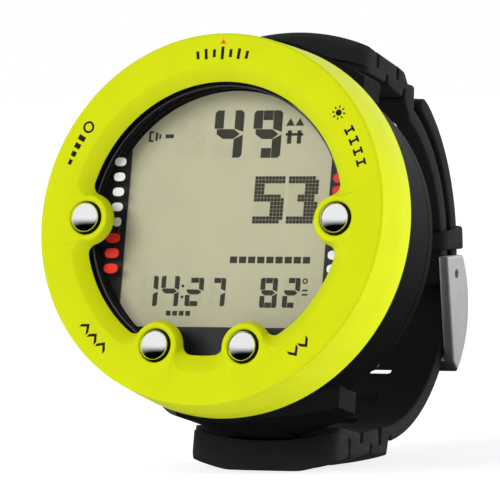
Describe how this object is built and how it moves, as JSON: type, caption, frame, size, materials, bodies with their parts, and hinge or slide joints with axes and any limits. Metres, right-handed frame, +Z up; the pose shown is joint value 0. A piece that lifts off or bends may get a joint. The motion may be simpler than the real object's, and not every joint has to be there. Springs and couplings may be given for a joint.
{
  "type": "wrist dive computer",
  "caption": "Round wrist dive computer with a bright protective bezel, push buttons round a segment display, and a buckled bellows strap.",
  "frame": {"origin": "on the floor under the middle of the bounding box, standing on the lower strap", "axes": "+Z up; -Y is the way the dial faces, leaning back 12 degrees; +X is towards 3 o'clock"},
  "size_m": [0.0716, 0.0896, 0.083],
  "materials": {
    "lime_plastic": "fine satin moulded plastic",
    "black_plastic": "fine spark-eroded moulded plastic",
    "lens_clear": "polished clear",
    "mask_black": "printed sheet",
    "lcd_beige": "reflective display",
    "backlight_white": "light guide",
    "strap_rubber": "matte elastomer",
    "seal_rubber": "smooth",
    "button_steel": "mirror polished stainless steel",
    "buckle_steel": "satin brushed",
    "small_steel": "plain",
    "contact_brass": "plain",
    "board_green": "solder mask",
    "chip_black": "moulded"
  },
  "bodies": {
    "case": {"bezel_ring": "lime_plastic", "case_body": "black_plastic", "lens": "lens_clear", "lens_gasket": "seal_rubber", "dial_mask": "mask_black", "lcd_panel": "lcd_beige", "backlight_panel": "backlight_white", "upper_zebra_strip": "seal_rubber", "lower_zebra_strip": "seal_rubber", "main_board": "board_green", "processor_chip": "chip_black", "tact_switches": "chip_black", "board_screws": "small_steel", "buzzer": "contact_brass", "pressure_sensor": "small_steel", "battery_contacts": "contact_brass", "back_cover": "black_plastic", "back_seal": "seal_rubber", "back_screws": "small_steel", "battery": "small_steel", "sensor_cover": "small_steel", "upper_strap_pin": "small_steel", "lower_strap_pin": "small_steel", "button_seals": "seal_rubber", "select_button_spring": "small_steel", "mode_button_spring": "small_steel", "down_button_spring": "small_steel", "up_button_spring": "small_steel", "upper_strap": "strap_rubber", "lower_strap": "strap_rubber", "buckle_pin": "buckle_steel"},
    "hatch": {"battery_hatch": "black_plastic", "hatch_seal": "seal_rubber"},
    "buckle": {"buckle_frame": "buckle_steel"},
    "tongue": {"buckle_tongue": "buckle_steel"},
    "keeper_loop": {"keeper": "strap_rubber"},
    "select": {"select_button": "button_steel", "select_button_clip": "small_steel"},
    "mode": {"mode_button": "button_steel", "mode_button_clip": "small_steel"},
    "down": {"down_button": "button_steel", "down_button_clip": "small_steel"},
    "up": {"up_button": "button_steel", "up_button_clip": "small_steel"}
  },
  "joints": [
    {"name": "select_press", "type": "slide", "parent": "case", "child": "select", "axis": [0, 0.9781, -0.2079], "range_m": [0, 0.001], "stiffness_N_per_m": 1200},
    {"name": "mode_press", "type": "slide", "parent": "case", "child": "mode", "axis": [0, 0.9781, -0.2079], "range_m": [0, 0.001], "stiffness_N_per_m": 1200},
    {"name": "down_press", "type": "slide", "parent": "case", "child": "down", "axis": [0, 0.9781, -0.2079], "range_m": [0, 0.001], "stiffness_N_per_m": 1200},
    {"name": "up_press", "type": "slide", "parent": "case", "child": "up", "axis": [0, 0.9781, -0.2079], "range_m": [0, 0.001], "stiffness_N_per_m": 1200},
    {"name": "hatch_turn", "type": "hinge", "parent": "case", "child": "hatch", "pos_m": [0, -0.01019, 0.04245], "axis": [0, 0.9781, -0.2079], "range_deg": [0, 60]},
    {"name": "buckle_swing", "type": "hinge", "parent": "case", "child": "buckle", "pos_m": [0, 0.03665, 0.03547], "axis": [1, 0, 0], "range_deg": [-0.5, 0.8]},
    {"name": "tongue_swing", "type": "hinge", "parent": "case", "child": "tongue", "pos_m": [0, 0.03665, 0.03547], "axis": [1, 0, 0], "range_deg": [-0.5, 1]},
    {"name": "keeper_slide", "type": "hinge", "parent": "case", "child": "keeper_loop", "pos_m": [0, 0.00706, 0.04042], "axis": [1, 0, 0], "range_deg": [0, 40]}
  ]
}
